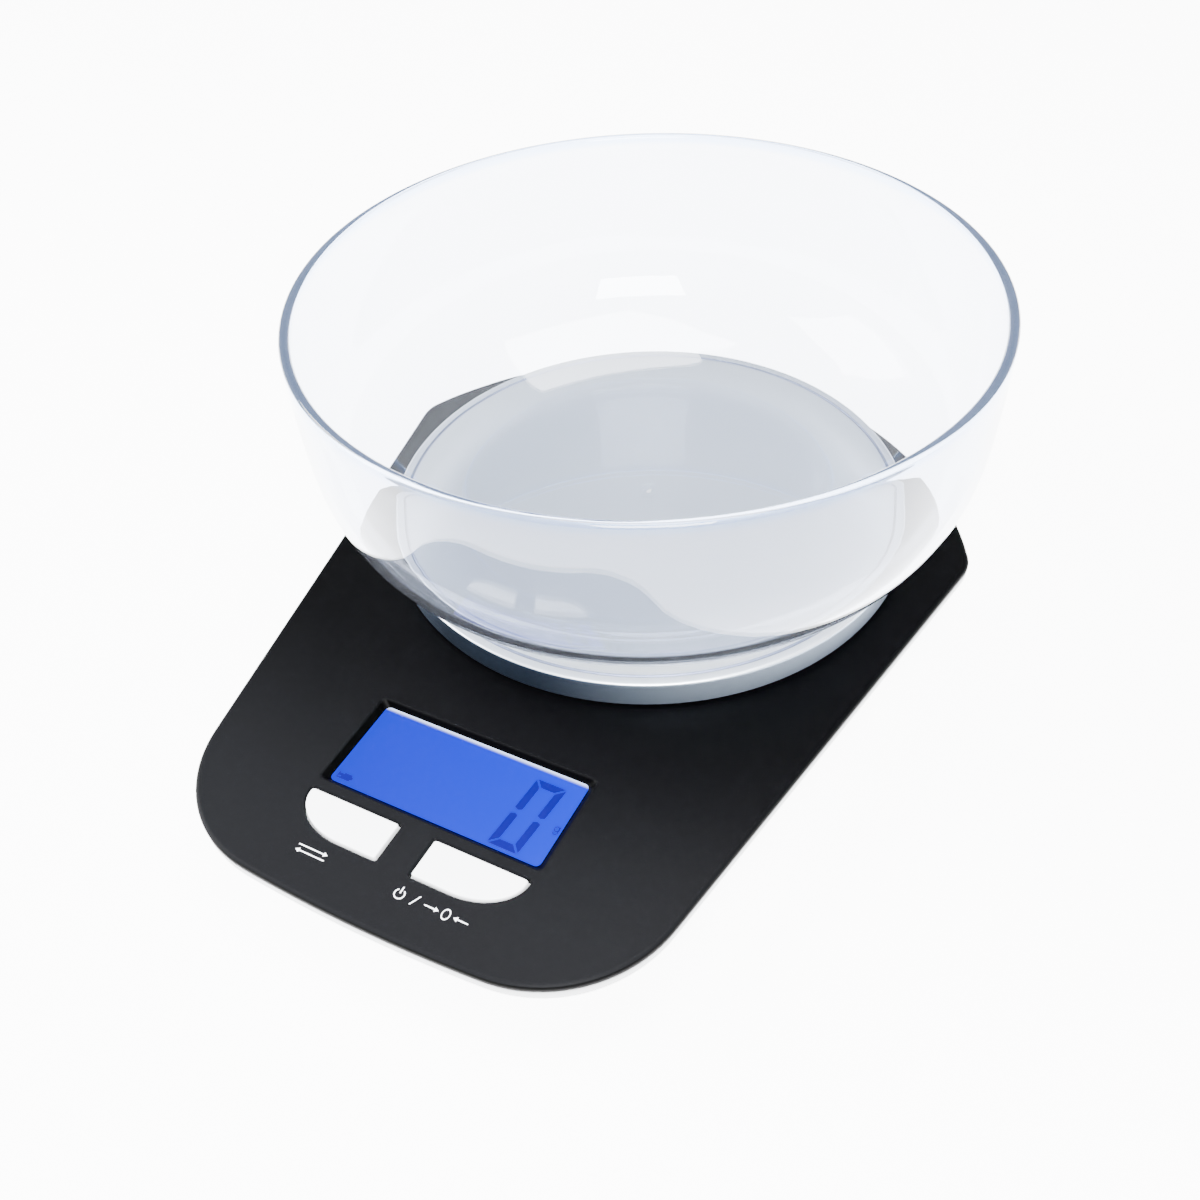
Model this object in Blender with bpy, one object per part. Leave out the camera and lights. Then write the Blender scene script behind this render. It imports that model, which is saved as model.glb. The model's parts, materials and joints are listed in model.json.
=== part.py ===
"""Kitchen scale with a clear bowl. X is right, Y is back (the display is at -Y), Z is up.
Sizes are in millimetres until make() turns them into metres. The origin is under the middle."""

import math

import bpy
from mathutils import Matrix, Vector

MM = 0.001

# Weighing platform and bowl, which share one upright axis
PLATFORM_R = 70.0
PLATFORM_H = 8.3
PLATFORM_GAP = 0.8
BOWL_R = 87.0
BOWL_H = 72.0
BOWL_WALL = 2.0
BOWL_RIM = 2.7
BOWL_FLAT_R = 46.0

# Body: outline measured from the platform's axis, heights from the table
BODY_TOP = 22.0
FRONT_REACH = 142.3
FRONT_R = 410.0
FRONT_CORNER_R = 34.0
FRONT_HALF_WIDTH = 61.0
FRONT_HALF_WIDTH_AT = 28.4
SIDE_SLOPE = 0.188
BACK_R = 93.0
BACK_CENTRE = -18.0
BACK_CORNER_R = 11.0
COVER_PLATE = 1.8
COVER_EDGE = 2.0
SHELL_TOP_GAP = 0.3
SHELL_WALL = 2.0
SHELL_BOTTOM = 2.2
FOOT_R = 6.0

# Display, keys and board, in the same plan measures
WINDOW_HALF = 29.7
WINDOW_BACK = 87.5
WINDOW_FRONT = 114.4
WINDOW_BEVEL = 1.8
KEY_BACK = 117.4
KEY_LENGTH = 9.8
KEY_INNER = 4.7
KEY_OUTER = 28.5
KEY_CURVE = 14.0
KEY_CORNER = 0.7
KEY_GAP = 0.45
KEY_RAISED = 0.35
BOARD_TOP = 15.0
BOARD_THICKNESS = 1.6

# Weighing cell and batteries
CELL_LENGTH = 76.0
CELL_WIDTH = 12.7
CELL_HEIGHT = 10.0
CELL_BOTTOM = 6.3
BATTERY_R = 5.25
BATTERY_LENGTH = 44.5
BAY_HALF_LENGTH = 26.2
BAY_HALF_WIDTH = 12.9
BAY_CENTRE = -66.5
BAY_WALL = 2.0
DOOR_AXIS_Z = 3.7
DOOR_TOP = 4.4

# Clearance where two pieces touch
TOUCH = 0.05

AXIS_Y = (FRONT_REACH - BOWL_R) / 2
COVER_CEILING = BODY_TOP - COVER_PLATE
PLATFORM_TOP = BODY_TOP + PLATFORM_H
CELL_TOP = CELL_BOTTOM + CELL_HEIGHT
SHELL_FLOOR = SHELL_BOTTOM + SHELL_WALL - 0.1
GLASS_TOP = COVER_CEILING - TOUCH
BAY_ROOF = DOOR_TOP + 1.05 + 2 * BATTERY_R + TOUCH + 1.2
BAY_Y = AXIS_Y + BAY_CENTRE
DOOR_AXIS_Y = BAY_Y + BAY_HALF_WIDTH - 1.8
CELL_SCREW_Y = CELL_LENGTH / 2 - 10
CASE_SCREWS = [(side * x, y) for x, y in ((39.0, -76.0), (52.0, -8.0)) for side in (-1, 1)]
FEET = [(side * x, y) for x, y in ((31.0, -106.0), (40.0, 28.0)) for side in (-1, 1)]
BOARD_SCREWS = [(side * 36.6, y) for y in (-120.0, -97.0) for side in (-1, 1)]
CORNERS = ("front_left", "front_right", "back_left", "back_right")

MATERIALS = {
    "black_plastic": ((0.012, 0.012, 0.014), 0.42, 0.0),
    "white_plastic": ((0.80, 0.81, 0.82), 0.35, 0.0),
    "key_white": ((0.86, 0.87, 0.88), 0.28, 0.0),
    "silver_paint": ((0.55, 0.59, 0.63), 0.38, 0.6),
    "clear_plastic": ((0.86, 0.91, 0.95), 0.05, 0.0),
    "grey_plastic": ((0.30, 0.31, 0.32), 0.5, 0.0),
    "aluminium": ((0.72, 0.73, 0.74), 0.35, 1.0),
    "steel": ((0.62, 0.62, 0.63), 0.3, 1.0),
    "board_green": ((0.03, 0.20, 0.08), 0.45, 0.0),
    "rubber": ((0.05, 0.05, 0.055), 0.8, 0.0),
    "display_glass": ((0.04, 0.11, 0.85), 0.12, 0.0),
    "light_guide": ((0.82, 0.88, 0.98), 0.3, 0.0),
    "sealant": ((0.85, 0.84, 0.80), 0.6, 0.0),
    "chip_resin": ((0.01, 0.01, 0.01), 0.3, 0.0),
    "battery_wrap": ((0.10, 0.11, 0.13), 0.3, 0.2),
    "wire_red": ((0.55, 0.03, 0.02), 0.45, 0.0),
    "wire_black": ((0.02, 0.02, 0.02), 0.45, 0.0),
}


def clear_scene():
    for obj in list(bpy.data.objects):
        bpy.data.objects.remove(obj, do_unlink=True)


def material(slot):
    """The named material, made the first time it is asked for."""
    if slot not in bpy.data.materials:
        colour, roughness, metallic = MATERIALS[slot]
        made = bpy.data.materials.new(slot)
        made.use_nodes = True
        shader = made.node_tree.nodes["Principled BSDF"]
        shader.inputs["Base Color"].default_value = (*colour, 1.0)
        shader.inputs["Roughness"].default_value = roughness
        shader.inputs["Metallic"].default_value = metallic
    return bpy.data.materials[slot]


def make(name, shape, slot=None, origin=(0.0, 0.0, 0.0)):
    """An object from (points, faces) in millimetres. Without a slot it is a hidden helper."""
    points, faces = shape
    mesh = bpy.data.meshes.new(name)
    mesh.from_pydata([[(p[i] - origin[i]) * MM for i in range(3)] for p in points], [], faces)
    obj = bpy.data.objects.new(name, mesh)
    obj.location = [value * MM for value in origin]
    bpy.context.scene.collection.objects.link(obj)
    if slot:
        mesh.materials.append(material(slot))
    else:
        obj.hide_render = True
        obj.display_type = "WIRE"
    return obj


def boolean(obj, shape, operation):
    helper = make(obj.name + "_" + operation.lower(), shape)
    step = obj.modifiers.new(operation.title(), "BOOLEAN")
    step.operation = operation
    step.solver = "EXACT"
    step.object = helper


def cut(obj, *shapes):
    boolean(obj, together(*shapes), "DIFFERENCE")


def join(obj, *shapes):
    boolean(obj, together(*shapes), "UNION")


def together(*shapes):
    """Several (points, faces) as one, for a helper made of separate blocks or pins."""
    points, faces = [], []
    for more_points, more_faces in shapes:
        start = len(points)
        points += more_points
        faces += [[start + i for i in face] for face in more_faces]
    return points, faces


def turned(shape, matrix):
    return [tuple(matrix @ Vector(p)) for p in shape[0]], shape[1]


def moved(shape, x=0.0, y=0.0, z=0.0):
    return turned(shape, Matrix.Translation((x, y, z)))


def loft(rings):
    """Closed rings of equal length joined in order, with a flat face on the first and last."""
    size = len(rings[0])
    faces = [list(range(size))[::-1], [(len(rings) - 1) * size + i for i in range(size)]]
    for row in range(len(rings) - 1):
        low, high = row * size, (row + 1) * size
        for i in range(size):
            j = (i + 1) % size
            faces.append([low + i, low + j, high + j, high + i])
    return [p for ring in rings for p in ring], faces


def prism(outline, bottom, top):
    return loft([[(x, y, z) for x, y in outline] for z in (bottom, top)])


def block(x0, x1, y0, y1, z0, z1):
    return prism([(x0, y0), (x1, y0), (x1, y1), (x0, y1)], z0, z1)


def circle(radius, count, z=0.0):
    turn = 2 * math.pi / count
    return [(radius * math.cos(i * turn), radius * math.sin(i * turn), z) for i in range(count)]


def lathe(profile, count=48):
    """A solid turned about Z from (radius, height) pairs that start and end on the axis."""
    points, rows = [], []
    for radius, z in profile:
        ring = [(0.0, 0.0, z)] if radius == 0 else circle(radius, count, z)
        rows.append((len(points), len(ring)))
        points += ring
    faces = []
    for (low, low_size), (high, high_size) in zip(rows, rows[1:]):
        for i in range(count):
            j = (i + 1) % count
            corners = [low + i % low_size, low + j % low_size, high + j % high_size, high + i % high_size]
            faces.append(list(dict.fromkeys(corners)))
    return points, faces


def rod(radius, bottom, top, count=16):
    return lathe([(0, bottom), (radius, bottom), (radius, top), (0, top)], count)


def screw(head_r, shank_r, head_from, head_to, tip, count=12):
    """A pan-head screw along Z. The head spans head_from to head_to, and the shank runs to tip."""
    up = 1 if head_to > head_from else -1
    bevel = 0.3 * up
    profile = [
        (0, tip),
        (shank_r * 0.55, tip),
        (shank_r, tip + 2 * bevel),
        (shank_r, head_from),
        (head_r, head_from),
        (head_r, head_to - 2 * bevel),
        (head_r - 0.5, head_to),
        (0, head_to),
    ]
    return lathe(profile if up > 0 else profile[::-1], count)


def tube(path, radius, sides=8):
    """A round wire along a path of points, with flat ends."""
    line = [Vector(p) for p in path]
    rings, across = [], Vector((0.3, 0.2, 1.0))
    for i, point in enumerate(line):
        ahead = (line[min(i + 1, len(line) - 1)] - line[max(i - 1, 0)]).normalized()
        across = (across - across.dot(ahead) * ahead).normalized()
        other = ahead.cross(across)
        ring = [across * x + other * y for x, y, _ in circle(radius, sides)]
        rings.append([tuple(point + step) for step in ring])
    return loft(rings)


def smooth_path(points, steps=5):
    """Points along a curve that passes through each of the given ones."""
    line = [Vector(p) for p in points]
    line = [line[0] * 2 - line[1], *line, line[-1] * 2 - line[-2]]
    found = []
    for a, b, c, d in zip(line, line[1:], line[2:], line[3:]):
        for step in range(steps):
            t = step / steps
            found.append(
                0.5
                * (2 * b + (c - a) * t + (2 * a - 5 * b + 4 * c - d) * t * t + (3 * b - a - 3 * c + d) * t**3)
            )
    return [*found, line[-2]]


def arc(centre, radius, start, end, steps):
    """Points from one angle to another, in degrees, without the last."""
    cx, cy = centre
    angles = [math.radians(start + (end - start) * i / steps) for i in range(steps)]
    return [(cx + radius * math.cos(a), cy + radius * math.sin(a)) for a in angles]


def corner_centre(circle_centre_y, circle_r, line, corner_r, towards):
    """Centre of a corner that touches the side line and, from inside, a circle centred on x = 0."""
    normal, distance = line
    along = Vector((-normal.y, normal.x))
    middle = Vector((0.0, circle_centre_y))
    off = distance - corner_r - normal.dot(middle)
    return middle + normal * off + along * towards * math.sqrt((circle_r - corner_r) ** 2 - off**2)


def body_outline(inset):
    """The body's plan, moved in by a distance. Every inset gives the same number of points."""
    normal = Vector((1.0, -SIDE_SLOPE)).normalized()
    at_front = Vector((FRONT_HALF_WIDTH, FRONT_HALF_WIDTH_AT - FRONT_REACH))
    line = (normal, normal.dot(at_front) - inset)
    side_angle = math.degrees(math.atan2(normal.y, normal.x))
    front_y = FRONT_R - FRONT_REACH
    front_r, back_r = FRONT_R - inset, BACK_R - inset
    near_r = max(FRONT_CORNER_R - inset, 3.0)
    far_r = max(BACK_CORNER_R - inset, 3.0)
    near = corner_centre(front_y, front_r, line, near_r, -1)
    far = corner_centre(BACK_CENTRE, back_r, line, far_r, 1)
    near_angle = math.degrees(math.atan2(near.y - front_y, near.x))
    far_angle = math.degrees(math.atan2(far.y - BACK_CENTRE, far.x))
    half = arc((0, front_y), front_r, -90, near_angle, 5)
    half += arc(near, near_r, near_angle, side_angle, 9)
    half.append(tuple(near + normal * near_r))
    half += arc(far, far_r, side_angle, far_angle, 5)
    half += arc((0, BACK_CENTRE), back_r, far_angle, 90, 9)
    half.append((0.0, BACK_CENTRE + back_r))
    whole = half + [(-x, y) for x, y in half[-2:0:-1]]
    return [(x, y + AXIS_Y) for x, y in whole]


def body_loft(profile):
    """A solid from (inset, height) pairs, each a ring that follows the body's plan."""
    return loft([[(x, y, z) for x, y in body_outline(inset)] for inset, z in profile])


def rounded(corners, steps=6):
    """A polygon with its corners rounded, from (x, y, radius) anticlockwise."""
    found = []
    for i, (x, y, radius) in enumerate(corners):
        here = Vector((x, y))
        before = (Vector(corners[i - 1][:2]) - here).normalized()
        after = (Vector(corners[(i + 1) % len(corners)][:2]) - here).normalized()
        half = before.angle(after) / 2
        middle = here + (before + after).normalized() * radius / math.sin(half)
        first = here + before * radius / math.tan(half) - middle
        last = here + after * radius / math.tan(half) - middle
        for step in range(steps + 1):
            t = step / steps
            turn = math.atan2(first.x * last.y - first.y * last.x, first.dot(last)) * t
            spin = Matrix.Rotation(turn, 2)
            found.append(tuple(middle + spin @ first))
    return found


def key_outline(side, grow=0.0):
    """A key's plan: square towards the middle of the body, one long oval curve at its outer front."""
    inner, outer = KEY_INNER - grow, KEY_OUTER + grow
    front, back = AXIS_Y - KEY_BACK - KEY_LENGTH - grow, AXIS_Y - KEY_BACK + grow
    wide, deep = KEY_CURVE + grow, back - front - KEY_CORNER
    plan = arc((inner + KEY_CORNER, front + KEY_CORNER), KEY_CORNER, 180, 270, 3)
    plan.append((inner + KEY_CORNER, front))
    for i in range(13):
        a = math.radians(-90 + 7.5 * i)
        plan.append((outer - wide + wide * math.cos(a), back - KEY_CORNER + deep * math.sin(a)))
    plan += arc((outer - KEY_CORNER, back - KEY_CORNER), KEY_CORNER, 30, 90, 2)
    plan.append((outer - KEY_CORNER, back))
    plan += arc((inner + KEY_CORNER, back - KEY_CORNER), KEY_CORNER, 90, 180, 3)
    return plan if side > 0 else [(-x, y) for x, y in plan[::-1]]


def rectangle(half, front, back):
    return [(-half, front, 0), (half, front, 0), (half, back, 0), (-half, back, 0)]


def top_cover():
    """Black upper shell: thin edge, lip that nests in the lower shell, screw posts under it."""
    edge_bottom = BODY_TOP - COVER_EDGE
    lip_out = SHELL_WALL + 0.9
    lip_in = lip_out + 1.4
    lip_bottom = edge_bottom - 3.0
    profile = [
        (1.5, BODY_TOP),
        (0.75, BODY_TOP - 0.13),
        (0.25, BODY_TOP - 0.5),
        (0.0, BODY_TOP - 1.1),
        (0.25, edge_bottom),
        (lip_out, edge_bottom),
        (lip_out, lip_bottom),
        (lip_in, lip_bottom),
        (lip_in, COVER_CEILING),
    ]
    cover = make("top_cover", body_loft(profile[::-1]), "black_plastic")
    case_posts = [moved(rod(3.2, 7.0, COVER_CEILING + 0.9), x, y + AXIS_Y) for x, y in CASE_SCREWS]
    board_posts = [
        moved(rod(2.4, BOARD_TOP + TOUCH, COVER_CEILING + 0.9), x, y + AXIS_Y) for x, y in BOARD_SCREWS
    ]
    join(cover, *case_posts, *board_posts)
    bores = [moved(rod(1.45, 6.0, 16.5, 12), x, y + AXIS_Y) for x, y in CASE_SCREWS]
    bores += [moved(rod(1.05, 14.0, 19.0, 12), x, y + AXIS_Y) for x, y in BOARD_SCREWS]
    front, back = AXIS_Y - WINDOW_FRONT, AXIS_Y - WINDOW_BACK
    deep = WINDOW_BEVEL * (COVER_PLATE + 1.0) / COVER_PLATE
    wide = WINDOW_BEVEL * 1.0 / COVER_PLATE
    window = loft(
        [
            [(x, y, z) for x, y, _ in rectangle(WINDOW_HALF - grow, front + grow, back - grow * 0.6)]
            for grow, z in ((deep, COVER_CEILING - 1.0), (-wide, BODY_TOP + 1.0))
        ]
    )
    keys = [prism(key_outline(side, KEY_GAP), COVER_CEILING - 2, BODY_TOP + 2) for side in (-1, 1)]
    riser = block(-13, 13, AXIS_Y - CELL_SCREW_Y - 14, AXIS_Y - CELL_SCREW_Y + 14, 18, 24)
    cut(cover, window, riser, *keys, *bores)


def lower_shell():
    """White lower shell: short upright edge, underside that curves in, bay for the batteries."""
    rim = BODY_TOP - COVER_EDGE - SHELL_TOP_GAP
    outside = [
        (28.0, SHELL_BOTTOM),
        (24.0, 2.8),
        (18.0, 4.7),
        (10.0, 8.6),
        (4.6, 12.4),
        (1.9, 14.7),
        (0.8, 16.2),
        (0.15, 18.2),
        (0.3, rim),
    ]
    inside = [
        (2.3, rim),
        (2.4, 16.9),
        (3.3, 16.0),
        (6.0, 13.8),
        (11.2, 10.2),
        (18.9, 6.5),
        (24.6, 4.7),
        (28.4, SHELL_FLOOR),
    ]
    shell = make("lower_shell", body_loft(outside + inside), "white_plastic")
    wall_x, wall_y = BAY_HALF_LENGTH + BAY_WALL, BAY_HALF_WIDTH + BAY_WALL
    bay = block(-wall_x, wall_x, BAY_Y - wall_y, BAY_Y + wall_y, SHELL_BOTTOM + 0.4, BAY_ROOF)
    bosses = [moved(rod(4.2, 3.5, 6.7), x, y + AXIS_Y) for x, y in CASE_SCREWS]
    join(shell, bay, *bosses)
    room = block(
        -BAY_HALF_LENGTH,
        BAY_HALF_LENGTH,
        BAY_Y - BAY_HALF_WIDTH,
        BAY_Y + BAY_HALF_WIDTH,
        SHELL_BOTTOM - 1,
        BAY_ROOF - 1.2,
    )
    step = [(0, 1.0), (3.2, 1.0), (3.2, 4.9), (1.7, 4.9), (1.7, 7.5), (0, 7.5)]
    recesses = [moved(lathe(step, 16), x, y + AXIS_Y) for x, y in CASE_SCREWS]
    feet = [moved(rod(FOOT_R + 0.25, 1.0, 3.1), x, y + AXIS_Y) for x, y in FEET]
    cut(shell, room, *recesses, *feet)
    hinge = turned(rod(0.7, -BAY_HALF_LENGTH - 1.4, BAY_HALF_LENGTH + 1.4, 12), Matrix.Rotation(math.pi / 2, 4, "Y"))
    finger = moved(rod(5.0, 1.0, 3.2), 0, BAY_Y - BAY_HALF_WIDTH - 1.0)
    cut(shell, moved(hinge, 0, DOOR_AXIS_Y, DOOR_AXIS_Z), finger)


def battery_door():
    """Flat door under the bay. Its back edge is round about two pins, its front has a tongue."""
    front = BAY_Y - BAY_HALF_WIDTH + 0.5
    below = DOOR_AXIS_Z - SHELL_BOTTOM - 0.1
    bend = [
        (DOOR_AXIS_Y + below * math.cos(a), DOOR_AXIS_Z + below * math.sin(a))
        for a in [math.radians(-90 + 15 * i) for i in range(9)]
    ]
    side = [(front, DOOR_AXIS_Z - below), *bend, (DOOR_AXIS_Y, DOOR_TOP), (front, DOOR_TOP)]
    half = BAY_HALF_LENGTH - 0.4
    plate = loft([[(x, y, z) for y, z in side] for x in (-half, half)])
    door = make("battery_door", plate, "white_plastic", (0, DOOR_AXIS_Y, DOOR_AXIS_Z))
    pins = [
        moved(
            turned(rod(0.45, 0, 2.6, 12), Matrix.Rotation(math.pi / 2, 4, "Y")),
            x,
            DOOR_AXIS_Y,
            DOOR_AXIS_Z,
        )
        for x in (-half - 1.1, half - 1.5)
    ]
    tongue = block(-6, 6, front + 0.4, front + 1.6, DOOR_TOP - 0.5, DOOR_TOP + 0.9)
    join(door, *pins, tongue)
    grips = [block(-9, 9, front + y, front + y + 0.8, 1.5, SHELL_BOTTOM + 0.5) for y in (2.0, 3.8, 5.6)]
    cut(door, *grips)


def batteries():
    """Two cells side by side, facing opposite ways, each with a spring at its flat end."""
    lie = Matrix.Rotation(math.pi / 2, 4, "Y")
    height = DOOR_TOP + 1.2 + BATTERY_R - 0.15
    body = BATTERY_LENGTH - 1.0
    cell = lathe(
        [
            (0, 0),
            (BATTERY_R - 0.4, 0),
            (BATTERY_R, 0.4),
            (BATTERY_R, body - 0.5),
            (BATTERY_R - 0.6, body),
            (1.9, body),
            (1.8, BATTERY_LENGTH),
            (0, BATTERY_LENGTH),
        ],
        20,
    )
    end = BAY_HALF_LENGTH - TOUCH
    plate = 0.4
    for name, way, y in (("front", -1, BAY_Y - 6.0), ("back", 1, BAY_Y + 6.0)):
        spin = Matrix.Rotation(0 if way > 0 else math.pi, 4, "Z")
        flat = end - plate - TOUCH - BATTERY_LENGTH
        place = Matrix.Translation((0, y, height)) @ spin
        make(f"battery_{name}", turned(moved(turned(cell, lie), flat), place), "battery_wrap")
        start = -end + plate + TOUCH
        turns, sides = 3.0, 10
        coil = []
        for i in range(int(turns * sides) + 1):
            a = 2 * math.pi * i / sides
            share = i / (turns * sides)
            r = 3.6 - 1.5 * share
            x = start + 0.4 + (flat - start - 0.8 - TOUCH) * share
            coil.append((x, r * math.cos(a), r * math.sin(a)))
        make(f"battery_spring_{name}", turned(tube(coil, 0.35, 5), place), "steel")
    for name, side, span in (
        ("positive", -1, (-11.4, -0.7)),
        ("negative", -1, (0.7, 11.4)),
        ("bridge", 1, (-11.4, 11.4)),
    ):
        x0, x1 = sorted((side * end, side * (end - plate)))
        tab = block(x0, x1, BAY_Y + span[0], BAY_Y + span[1], height - 4.5, height + 4.2)
        make(f"battery_contact_{name}", tab, "steel")


def feet_and_case_screws():
    """Rubber feet set in shallow pockets, and the screws that close the case from below."""
    pad = [(0, 0), (FOOT_R - 0.7, 0), (FOOT_R, 0.7), (FOOT_R, 3.1 - TOUCH), (0, 3.1 - TOUCH)]
    for name, (x, y) in zip(CORNERS, FEET):
        make(f"foot_{name}", moved(lathe(pad, 20), x, y + AXIS_Y), "rubber")
    for name, (x, y) in zip(CORNERS, CASE_SCREWS):
        shape = screw(2.8, 1.25, 4.9 - TOUCH, 3.3, 15.5)
        make(f"case_screw_{name}", moved(shape, x, y + AXIS_Y), "steel")


def weighing_cell():
    """Aluminium bar with a thinned middle, held down at the back and carrying the platform in front."""
    half, width = CELL_LENGTH / 2, CELL_WIDTH / 2
    bar = make(
        "load_cell",
        moved(block(-width, width, -half, half, CELL_BOTTOM, CELL_TOP), 0, AXIS_Y),
        "aluminium",
    )
    lie = Matrix.Rotation(math.pi / 2, 4, "Y")
    middle = (CELL_BOTTOM + CELL_TOP) / 2
    eyes = [
        moved(turned(rod(3.9, -width - 2, width + 2, 24), lie), 0, AXIS_Y + y, middle) for y in (-6.5, 6.5)
    ]
    slot = block(-width - 2, width + 2, AXIS_Y - 7, AXIS_Y + 7, middle - 1.2, middle + 1.2)
    holes = [
        moved(rod(2.3, CELL_BOTTOM - 2, CELL_TOP + 2, 16), 0, AXIS_Y + side * (CELL_SCREW_Y + step))
        for side in (-1, 1)
        for step in (-6.0, 6.0)
    ]
    cut(bar, *eyes, *holes)
    cut(bar, slot)
    seal = block(-4.6, 4.6, AXIS_Y - 13, AXIS_Y + 13, CELL_TOP + TOUCH, CELL_TOP + 1.6)
    gauge = make("strain_gauge_seal", seal, "sealant")
    soften = gauge.modifiers.new("Bevel", "BEVEL")
    soften.width = 0.6 * MM
    soften.segments = 2
    back = AXIS_Y + CELL_SCREW_Y
    seat = make(
        "cell_base_plate", block(-9, 9, back - 10, back + 10, SHELL_FLOOR + TOUCH, CELL_BOTTOM - TOUCH), "steel"
    )
    cut(seat, *[moved(rod(2.2, 2, 8, 16), 0, back + step) for step in (-6.0, 6.0)])
    for name, step in (("inner", -6.0), ("outer", 6.0)):
        shape = screw(3.6, 1.9, CELL_TOP + TOUCH, CELL_TOP + 2.4, SHELL_FLOOR + 0.4)
        make(f"cell_base_screw_{name}", moved(shape, 0, back + step), "steel")
    stop = moved(rod(3.0, SHELL_FLOOR + TOUCH, CELL_BOTTOM - 0.8), 0, AXIS_Y - half + 4)
    make("overload_stop", stop, "steel")


def platform():
    """Silver round cover on a carrier plate, with a riser block down to the front of the cell."""
    rise = PLATFORM_TOP
    low = BODY_TOP + PLATFORM_GAP
    r = PLATFORM_R
    profile = [
        (0, rise - 2.0),
        (r - 4.0, rise - 2.0),
        (r - 1.9, rise - 3.6),
        (r - 1.9, low),
        (r - 0.4, low),
        (r, low + 0.4),
        (r + 0.3, rise - 0.7),
        (r, rise - 0.15),
        (r - 0.5, rise),
        (r - 2.2, rise),
        (r - 2.5, rise - 0.25),
        (r - 2.8, rise),
        (0, rise),
    ]
    make("platform_cover", moved(lathe(profile, 64), 0, AXIS_Y), "silver_paint")
    top = rise - 2.0 - TOUCH
    carrier = make("platform_carrier", moved(rod(r - 4.6, top - 3.0, top, 40), 0, AXIS_Y), "grey_plastic")
    windows = [
        moved(rod(11.5, top - 6, top + 3, 20), 43 * math.cos(a), AXIS_Y + 43 * math.sin(a))
        for a in [math.radians(60 * i) for i in range(6)]
        if abs(math.cos(a)) > 0.1
    ]
    front = AXIS_Y - CELL_SCREW_Y
    steps = (-6.0, 6.0)
    seats = [moved(rod(4.0, top - 2.0, top + 2, 20), 0, front + step) for step in steps]
    bores = [moved(rod(2.3, 2, top + 3, 16), 0, front + step) for step in steps]
    cut(carrier, *windows, *seats)
    cut(carrier, *bores)
    under = top - 3.0 - TOUCH
    riser = make("platform_riser", block(-9, 9, front - 10, front + 10, CELL_TOP + TOUCH, under), "grey_plastic")
    cut(riser, *bores)
    for name, step in zip(("outer", "inner"), steps):
        shape = screw(3.6, 1.9, top - 2.0 + TOUCH, top - 0.15, CELL_BOTTOM + 3)
        make(f"platform_screw_{name}", moved(shape, 0, front + step), "steel")


def bowl():
    """Clear bowl: flat in the middle of its floor, full lower curve, upright wall, thicker rim."""
    base = PLATFORM_TOP + TOUCH
    flat = BOWL_FLAT_R
    rim_z = BODY_TOP + BOWL_H
    shape = [(0.0, 0.0), (0.085, 0.004), (0.171, 0.015), (0.268, 0.035), (0.371, 0.063), (0.461, 0.089)]
    shape += [(0.576, 0.13), (0.7, 0.185), (0.82, 0.262), (0.915, 0.368), (0.973, 0.524), (0.993, 0.733)]
    shape.append((1.0, 0.95))
    wall = [Vector((flat + (BOWL_R - flat) * a, base + (rim_z - base) * b)) for a, b in shape]
    inner = []
    for before, here, after in zip(wall, wall[1:], wall[2:]):
        along = (after - before).normalized()
        inner.append(here + Vector((-along.y, along.x)) * BOWL_WALL)
    inside = BOWL_R - BOWL_RIM
    floor = base + BOWL_WALL
    profile = [
        (0, base),
        *[tuple(p) for p in wall],
        (BOWL_R, rim_z - 0.9),
        (BOWL_R - 0.4, rim_z - 0.25),
        (BOWL_R - BOWL_RIM / 2, rim_z),
        (inside + 0.4, rim_z - 0.25),
        (inside, rim_z - 0.9),
        (inside + 0.1, rim_z - 2.2),
        (BOWL_R - BOWL_WALL - 0.1, rim_z - 3.6),
        *[tuple(p) for p in inner[::-1]],
        (flat - 0.2, floor),
        (1.7, floor),
        (1.3, floor + 0.3),
        (0, floor + 0.4),
    ]
    make("bowl", moved(lathe(profile, 64), 0, AXIS_Y), "clear_plastic", (0, AXIS_Y, base))


def display():
    """Glass under the window, its light guide and lamp strip, contact strip and retainer."""
    front, back = AXIS_Y - WINDOW_FRONT - 0.8, AXIS_Y - WINDOW_BACK + 1.9
    half = WINDOW_HALF + 1.0
    glass_bottom = GLASS_TOP - 1.7
    base = BOARD_TOP + TOUCH
    make("display_glass", block(-half, half, front, back, glass_bottom, GLASS_TOP), "display_glass")
    guide = block(-half + 1, half - 1, front + 2.4, back - 2.4, base, glass_bottom - TOUCH)
    make("backlight_guide", guide, "light_guide")
    strip = block(-half + 4, half - 4, front + 0.3, front + 1.9, base, glass_bottom - TOUCH)
    make("contact_strip", strip, "rubber")
    lamp = block(-18, 18, back - 2.1, back - 0.5, base, glass_bottom - 0.6)
    make("backlight_lamp", lamp, "light_guide")
    outer = half + 1.5
    frame = block(-outer, outer, front, back + 1.2, base, COVER_CEILING - TOUCH)
    retainer = make("display_retainer", frame, "grey_plastic")
    cut(retainer, block(-half - 0.2, half + 0.2, front - 3, back + 0.2, base - 3, BODY_TOP))


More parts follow.
